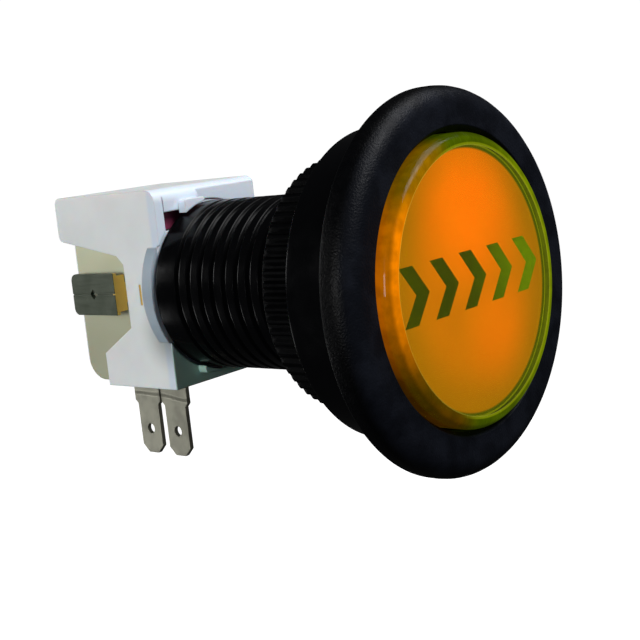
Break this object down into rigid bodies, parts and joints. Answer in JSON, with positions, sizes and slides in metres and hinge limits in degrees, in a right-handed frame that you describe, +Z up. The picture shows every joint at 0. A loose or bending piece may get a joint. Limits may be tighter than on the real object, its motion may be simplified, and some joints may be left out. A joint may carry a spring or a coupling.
{
  "type": "illuminated push button",
  "caption": "Round illuminated push button with an amber lens in a wide black bezel, a threaded barrel with a panel nut, and a white lamp and switch holder behind it.",
  "frame": {"origin": "centre of the panel seat, which is the skirt's flat rear face", "axes": "+Y back along the button's axis, into the panel; +Z up, away from the switch's blades; +X to the right seen from the front"},
  "size_m": [0.0555, 0.0785, 0.0573],
  "materials": {
    "black_moulding": "fine matte grain on the bezel, glossier skirt",
    "black_nylon": "satin",
    "amber_lens": "clear amber, polished",
    "printed_film": "lit amber film",
    "milky_plastic": "milky",
    "spring_steel": "drawn wire",
    "white_nylon": "translucent satin",
    "maroon_plastic": "satin",
    "plated_terminal": "tin plate",
    "spring_brass": "rolled, slightly dull",
    "silver_contact": "silver",
    "lamp_glass": "clear"
  },
  "bodies": {
    "housing": {"bezel_housing": "black_moulding", "return_spring": "spring_steel"},
    "nut": {"panel_nut": "black_nylon"},
    "button": {"lens_cap": "amber_lens", "legend_disc": "printed_film", "diffuser_disc": "milky_plastic", "lens_carrier": "black_nylon"},
    "module": {"lamp_holder": "white_nylon", "rear_cover": "white_nylon", "common_terminal": "plated_terminal", "open_terminal": "plated_terminal", "fixed_contact": "silver_contact", "lamp_bulb": "lamp_glass", "lamp_lead_left": "silver_contact", "lamp_lead_right": "silver_contact", "lamp_contact_left": "spring_brass", "lamp_contact_right": "spring_brass"},
    "plunger": {"switch_plunger": "maroon_plastic"},
    "blade": {"contact_blade": "spring_brass", "moving_contact": "silver_contact"}
  },
  "joints": [
    {"name": "button_press", "type": "slide", "parent": "housing", "child": "button", "axis": [0, 1, 0], "range_m": [0, 0.003], "stiffness_N_per_m": 600, "springref_m": -0.002, "deforming": ["return_spring"]},
    {"name": "holder_twist", "type": "hinge", "parent": "housing", "child": "module", "pos_m": [0, 0.0368, 0], "axis": [0, 1, 0], "range_deg": [0, 30]},
    {"name": "nut_travel", "type": "slide", "parent": "housing", "child": "nut", "axis": [0, 1, 0], "range_m": [-0.002, 0.0255]},
    {"name": "plunger_slide", "type": "slide", "parent": "module", "child": "plunger", "axis": [0, 1, 0], "range_m": [0, 0.003]},
    {"name": "blade_swing", "type": "hinge", "parent": "module", "child": "blade", "pos_m": [-0.00355, 0.0471, 0.0126], "axis": [0, 0, 1], "range_deg": [0, 17.3]}
  ],
  "couplings": [
    {"joint": "plunger_slide", "follows": "button_press", "ratio": 1},
    {"joint": "blade_swing", "follows": "button_press", "rad_per_m": 100}
  ]
}
